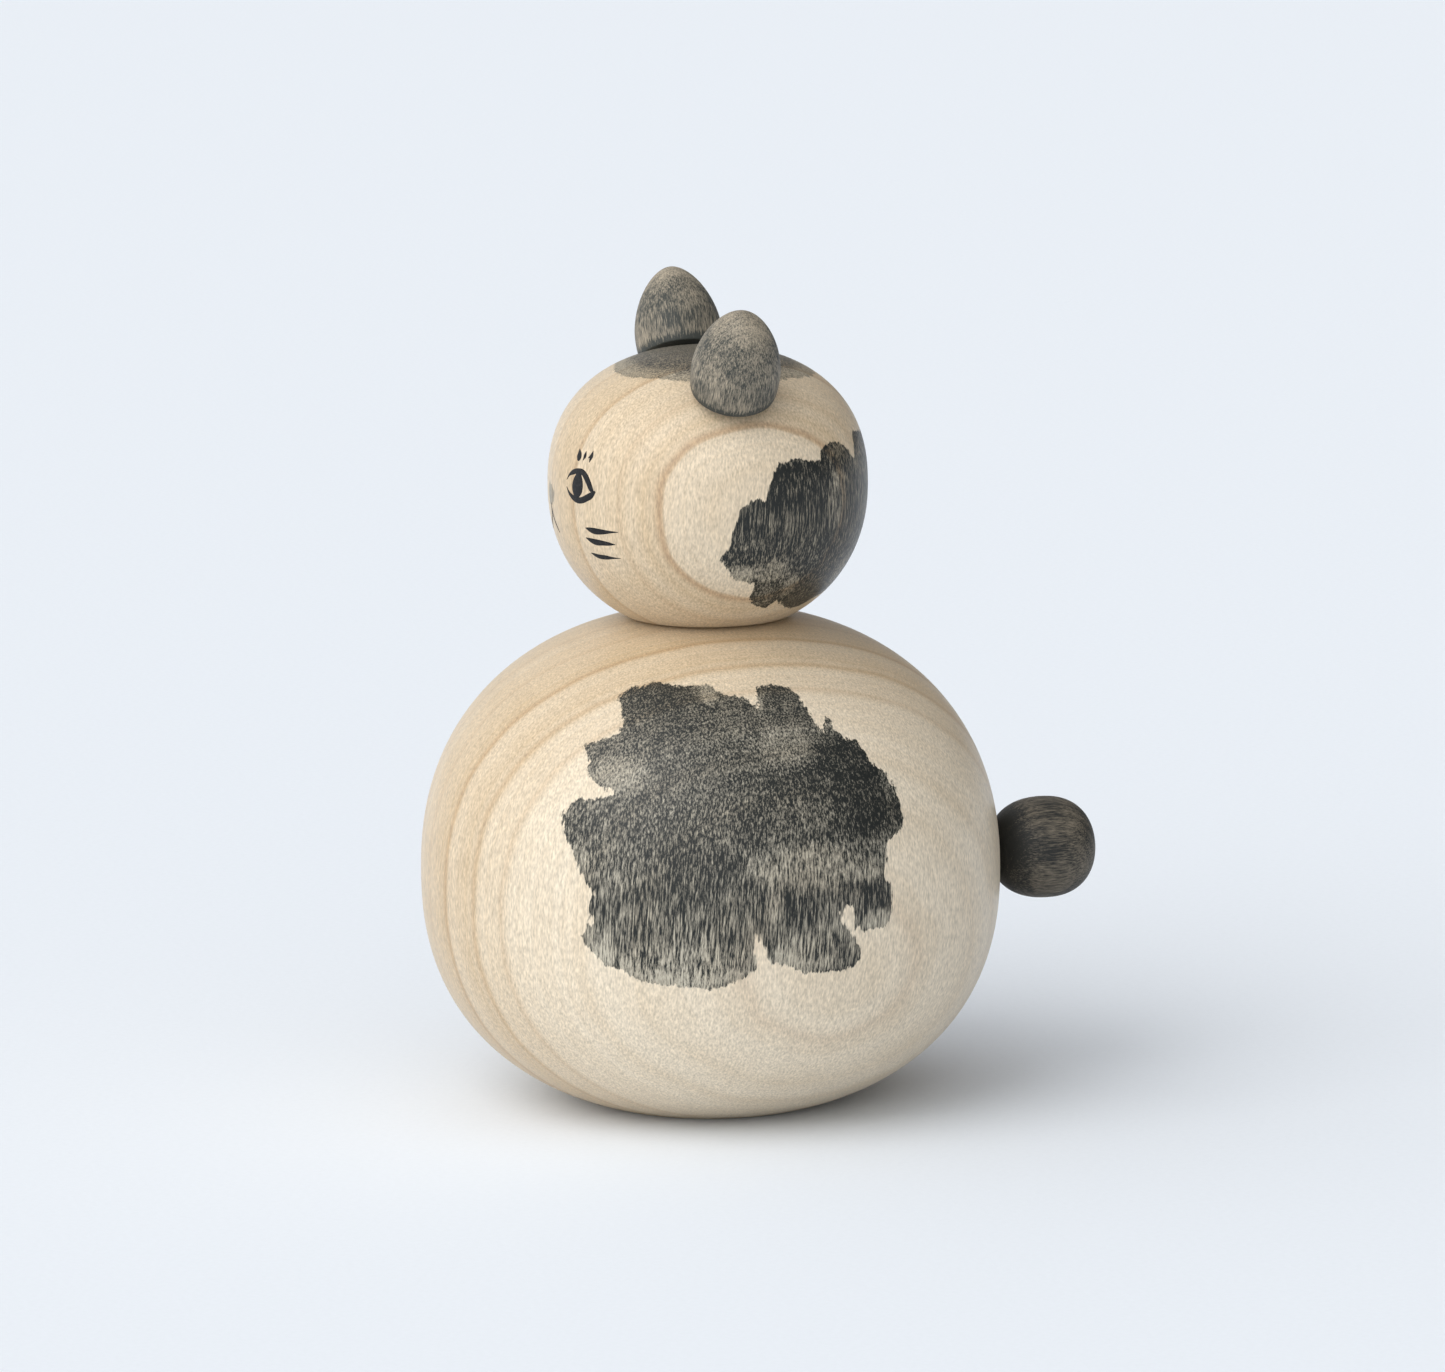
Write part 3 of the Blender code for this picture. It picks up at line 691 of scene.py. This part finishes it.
WHISKER_STROKES = [
    [(27.7, 67.68, 0.04), (29.4, 67.58, 0.22), (31.4, 67.5, 0.33), (36.0, 67.52, 0.29),
     (40.0, 67.62, 0.14), (43.6, 67.72, 0.03)],
    [(27.0, 66.50, 0.04), (29.2, 66.32, 0.24), (31.6, 66.2, 0.34), (35.5, 66.2, 0.29),
     (39.7, 66.2, 0.15), (41.6, 66.2, 0.03)],
    [(28.0, 64.75, 0.04), (29.6, 64.62, 0.18), (31.6, 64.5, 0.25), (35.5, 64.5, 0.26),
     (39.5, 64.55, 0.11), (43.0, 64.62, 0.02)],
]
MOUTH_STROKES = [
    [(0.5, 69.3, 0.06), (0.7, 68.7, 0.09), (1.5, 67.9, 0.12), (3.0, 67.2, 0.13), (4.6, 66.7, 0.11),
     (6.1, 66.15, 0.04)],
]

face_ink, face_shader = new_finish("black_face_ink", 0.42)
face_shader.inputs["Specular IOR Level"].default_value = 0.25
face_place = finish_step(face_ink, "TexCoord", output="Object")
face_shade = finish_step(face_ink, "TexNoise", {
    "Vector": face_place, "Scale": 2600.0, "Detail": 3.0, "Roughness": 0.6})
face_share = finish_step(face_ink, "MapRange", {"Value": face_shade, "From Min": 0.5,
                                                "From Max": 0.8})
face_ink.node_tree.links.new(blended(face_ink, face_share, BLACK_INK, THIN_INK),
                             face_shader.inputs["Base Color"])
face_ink.node_tree.links.new(
    finish_step(face_ink, "MapRange", {"Value": face_shade, "To Min": 0.34, "To Max": 0.52}),
    face_shader.inputs["Roughness"])


def rounded_walk(reach, values, at):
    """Values along a walk, rounded through its corners."""
    slopes = np.gradient(values, reach)
    spot = np.clip(np.searchsorted(reach, at, side="right") - 1, 0, len(reach) - 2)
    gap = reach[spot + 1] - reach[spot]
    share = (at - reach[spot]) / gap
    return ((2 * share ** 3 - 3 * share ** 2 + 1) * values[spot]
            + (share ** 3 - 2 * share ** 2 + share) * gap * slopes[spot]
            + (3 * share ** 2 - 2 * share ** 3) * values[spot + 1]
            + (share ** 3 - share ** 2) * gap * slopes[spot + 1])


def brushed(name, strokes, side):
    """Strokes on the head's skin, one closed film each, on the left (1) or the right (-1)."""
    points = []
    faces = []
    for stroke in strokes:
        walk = np.array(stroke, float) * (1.0, 1.0, STROKE_FULLNESS)
        walk -= (FACE_SHIFT, 0.0, 0.0)
        reach = np.concatenate([[0.0], np.cumsum(np.hypot(
            np.diff(walk[:, 0]) * MM_PER_DEGREE, np.diff(walk[:, 1])))])
        at = np.linspace(0, reach[-1], STROKE_STEPS + 1)
        azimuths, heights, widths = [rounded_walk(reach, column, at) for column in walk.T]
        middle = [place_on(head_skin, side * turn, high)[0] for turn, high in zip(azimuths, heights)]
        first = len(points)
        for step, centre in enumerate(middle):
            ahead = middle[min(step + 1, STROKE_STEPS)] - middle[max(step - 1, 0)]
            outward = place_on(head_skin, side * azimuths[step], heights[step])[1]
            across = np.cross(outward, ahead)
            across *= max(widths[step], LEAST_HALF_WIDTH) / np.linalg.norm(across)
            ways = np.linspace(-1, 1, STROKE_WAYS + 1)
            skin_points = []
            for way in ways:
                near = centre + across * way
                turn = math.degrees(math.atan2(near[0], -near[1]))
                skin_points.append(place_on(head_skin, turn, near[2]))
            points += [spot + out * FILM_RISE * (1 - 0.8 * way ** 4)
                       for way, (spot, out) in zip(ways, skin_points)]
            points += [spot - out * FILM_ROOT for spot, out in reversed(skin_points)]
        loop = 2 * (STROKE_WAYS + 1)
        for step in range(STROKE_STEPS):
            low, high = first + step * loop, first + (step + 1) * loop
            for way in range(loop):
                after = (way + 1) % loop
                faces.append((low + way, low + after, high + after, high + way))
        faces.append(tuple(range(first, first + loop))[::-1])
        faces.append(tuple(range(first + STROKE_STEPS * loop, first + STROKE_STEPS * loop + loop)))
    mesh = bpy.data.meshes.new(name)
    mesh.from_pydata([tuple(point / 1000) for point in points], [], faces)
    work = bmesh.new()
    work.from_mesh(mesh)
    bmesh.ops.recalc_face_normals(work, faces=work.faces)
    work.to_mesh(mesh)
    work.free()
    mesh.shade_smooth()
    mesh.set_sharp_from_angle(angle=math.radians(50))
    mesh.materials.append(face_ink)
    piece = bpy.data.objects.new(name, mesh)
    scene.collection.objects.link(piece)
    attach(piece, "head")


for side_name, side in (("left", 1), ("right", -1)):
    brushed(f"{side_name}_eye_strokes", EYE_STROKES, side)
    brushed(f"{side_name}_brow_strokes", BROW_STROKES, side)
    brushed(f"{side_name}_whisker_strokes", WHISKER_STROKES, side)
    brushed(f"{side_name}_mouth_stroke", MOUTH_STROKES, side)

# ---------------------------------------------------------------------------
# Ears. Two small bullets turned along the grain, stained with thin ink, each
# standing on a dowel a hair above the head.
EAR_RADIUS = 0.00502
EAR_BASE_RADIUS = 0.00466
EAR_SHOULDER = 0.00277
EAR_LENGTH = 0.01094
EAR_POWER = 1.72
EAR_TILT = math.radians(31.4)
EAR_SPREAD = 0.01316
EAR_LIFT = 0.00068
EAR_HOLE_RADIUS = 0.0018
EAR_HOLE_DEPTH = 0.0048
EAR_STEPS = 36
EAR_COLUMNS = 128
STAINED_WOOD = (0.385, 0.328, 0.245, 1.0)
GREY_INK = (0.040, 0.044, 0.039, 1.0)
STAIN_ROUGHNESS = 0.55
STAIN_SHINE = 0.35
STAIN_HEART = 14.0              # depth of the log's heart, in mm
STAIN_BITE = 3.2                # how unevenly the threads take the stain
STAIN_POOLS = 1.3               # how much it pools from one region to the next
TIP_START = 1.5                 # the far end thins between these places, in mm along the piece
TIP_END = 5.5


def stained(name, centre, fibre, outward, load, tones, across, ring_share, painted_foot_shade,
            tip_share):
    """Small turned piece, wholly stained: thin ink that the threads of the wood take unevenly.

    The tones are bare wood and full ink, and across is the threads' width in mm. Painted shade
    darkens the foot, where the piece meets the head or body, easing off between its two places."""
    finish, shader = new_finish(name, STAIN_ROUGHNESS)
    shader.inputs["Specular IOR Level"].default_value = STAIN_SHINE
    place, depth, side, length = grain_places(finish, centre, outward, fibre, STAIN_HEART)
    rings = reckon(finish, "SQRT", reckon(
        finish, "ADD", reckon(finish, "MULTIPLY", depth, depth),
        reckon(finish, "MULTIPLY", side, side)))
    season = finish_step(finish, "TexNoise", {"W": rings, "Scale": 1.7, "Detail": 2.0},
                         noise_dimensions="1D")
    threads = fibre_noise(finish, depth, side, length, across, 9.0, detail=3.0, roughness=0.75)
    pools = finish_step(finish, "TexNoise", {"Vector": place, "Scale": 0.26, "Detail": 2.0})
    cover = reckon(finish, "MULTIPLY_ADD", reckon(finish, "SUBTRACT", threads, 0.5), STAIN_BITE,
                   load)
    cover = reckon(finish, "ADD", cover,
                   reckon(finish, "MULTIPLY_ADD", pools, STAIN_POOLS, -STAIN_POOLS / 2))
    cover = reckon(finish, "ADD", cover,
                   reckon(finish, "MULTIPLY_ADD", season, ring_share, -ring_share / 2))
    # painted shade: the colour darkens next to the foot, where the piece meets the head or the body
    foot = finish_step(finish, "MapRange", {"Value": length, "From Min": painted_foot_shade[0],
                                            "From Max": painted_foot_shade[1], "To Min": 0.9,
                                            "To Max": 0.0})
    tip = finish_step(finish, "MapRange", {"Value": length, "From Min": TIP_START,
                                           "From Max": TIP_END, "To Min": 0.0,
                                           "To Max": tip_share})
    cover = reckon(finish, "ADD", cover, tip)
    cover = finish_step(finish, "Math", {0: cover, 1: foot}, operation="ADD", use_clamp=True)
    surface(finish, shader, blended(finish, cover, *tones), threads, STAIN_ROUGHNESS,
            spread=0.06, depth=0.00004)
    return finish


def ear_stand(side):
    """Centre of an ear's underside on the left (1) or the right (-1)."""
    low, high = 0.0, HEAD_RADIUS
    while high - low > 1e-7:
        radius = (low + high) / 2
        height = curve_height(radius, HEAD_RADIUS, HEAD_UPPER_RISE, HEAD_UPPER_POWER)
        slope = Vector(((radius / HEAD_RADIUS) ** (HEAD_UPPER_POWER - 1) / HEAD_RADIUS,
                        (height / HEAD_UPPER_RISE) ** (HEAD_UPPER_POWER - 1) / HEAD_UPPER_RISE))
        lifted = Vector((radius, height)) + slope.normalized() * EAR_LIFT
        low, high = (radius, high) if lifted.x < EAR_SPREAD else (low, radius)
    return Vector((side * lifted.x, 0.0, head_equator + lifted.y))


ear_profile = [(0.0, EAR_HOLE_DEPTH), (EAR_HOLE_RADIUS, EAR_HOLE_DEPTH), (EAR_HOLE_RADIUS, 0.0)]
for step in range(13):
    angle = math.pi / 2 * step / 13
    ear_profile.append((EAR_BASE_RADIUS + (EAR_RADIUS - EAR_BASE_RADIUS) * math.sin(angle),
                        EAR_SHOULDER * (1 - math.cos(angle))))
ear_profile += [(radius, EAR_SHOULDER + rise) for radius, rise in curve_half(
    EAR_RADIUS, EAR_LENGTH - EAR_SHOULDER, EAR_POWER, 0.0, EAR_STEPS)[:-1]]
ear_profile.append((0.0, EAR_LENGTH))
for ear_name, sign in (("left", 1), ("right", -1)):
    ear = turned(f"{ear_name}_ear", ear_profile, EAR_COLUMNS)
    ear_foot = ear_stand(sign)
    ear_way = Vector((sign * math.sin(EAR_TILT), 0.0, math.cos(EAR_TILT)))
    ear.data.transform(Matrix.Translation(ear_foot) @ Matrix.Rotation(sign * EAR_TILT, 4, "Y"))
    # each ear's foot is darkened with painted shade where it stands over the head
    ear.data.materials.append(stained(
        f"{ear_name}_ear_stain", centre=tuple((ear_foot + ear_way * 0.005) * 1000),
        fibre=tuple(ear_way), outward=(ear_way.z, 0.0, -ear_way.x), load=0.70,
        tones=(STAINED_WOOD, GREY_INK), across=0.17, ring_share=0.45, painted_foot_shade=(-5.2, -3.9),
        tip_share=-0.35))
    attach(ear, "head")
    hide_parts(f"ear_{ear_name}")
    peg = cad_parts[f"ear_peg_{ear_name}"]
    peg.data.materials.clear()
    peg.data.materials.append(dowel_finish(f"{ear_name}_ear_peg_wood", tuple(ear_foot * 1000),
                                           tuple(ear_way)))

# ---------------------------------------------------------------------------
# Tail. A small knob turned with its grain across the spin, stained dark, and
# held against the body by its own dowel.
TAIL_RADIUS = 0.00583
TAIL_REACH = 0.03926
TAIL_INNER_HALF = 0.00648
TAIL_OUTER_HALF = 0.005815
TAIL_POWER = 2.3
TAIL_HEIGHT = 0.0267
TAIL_GAP = 0.0003
TAIL_STEPS = 36
TAIL_COLUMNS = 128
TAIL_BROWN = (0.165, 0.140, 0.104, 1.0)
TAIL_BLACK = (0.013, 0.014, 0.013, 1.0)

tail_base = BODY_RADIUS + TAIL_GAP
tail_centre = TAIL_REACH - tail_base
tail_profile = [(0.0, EAR_HOLE_DEPTH), (EAR_HOLE_RADIUS, EAR_HOLE_DEPTH), (EAR_HOLE_RADIUS, 0.0)]
tail_profile += [(radius, tail_centre - drop) for radius, drop in reversed(curve_half(
    TAIL_RADIUS, TAIL_INNER_HALF, TAIL_POWER,
    curve_height(tail_centre, TAIL_INNER_HALF, TAIL_RADIUS, TAIL_POWER), TAIL_STEPS))]
tail_profile += [(radius, tail_centre + rise) for radius, rise in curve_half(
    TAIL_RADIUS, TAIL_OUTER_HALF, TAIL_POWER, 0.0, TAIL_STEPS)[1:-1]]
tail_profile.append((0.0, tail_centre + TAIL_OUTER_HALF))
tail = turned("tail_knob", tail_profile, TAIL_COLUMNS)
tail.data.transform(Matrix.Translation((0.0, tail_base, TAIL_HEIGHT))
                    @ Matrix.Rotation(-math.pi / 2, 4, "X"))
# the tail's foot is darkened with painted shade where it meets the body
tail.data.materials.append(stained(
    "dark_tail_stain", centre=(0.0, 39.3, 26.7), fibre=(0.0, 1.0, 0.0), outward=(0.86, 0.0, -0.5),
    load=0.66, tones=(TAIL_BROWN, TAIL_BLACK), across=0.15, ring_share=0.9,
    painted_foot_shade=(-6.0, -2.6), tip_share=0.0))
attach(tail, "body")
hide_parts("tail")
tail_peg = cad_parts["tail_peg"]
tail_peg.data.materials.clear()
tail_peg.data.materials.append(dowel_finish("tail_peg_wood", (0.0, 33.0, 26.7), (0.0, 1.0, 0.0)))
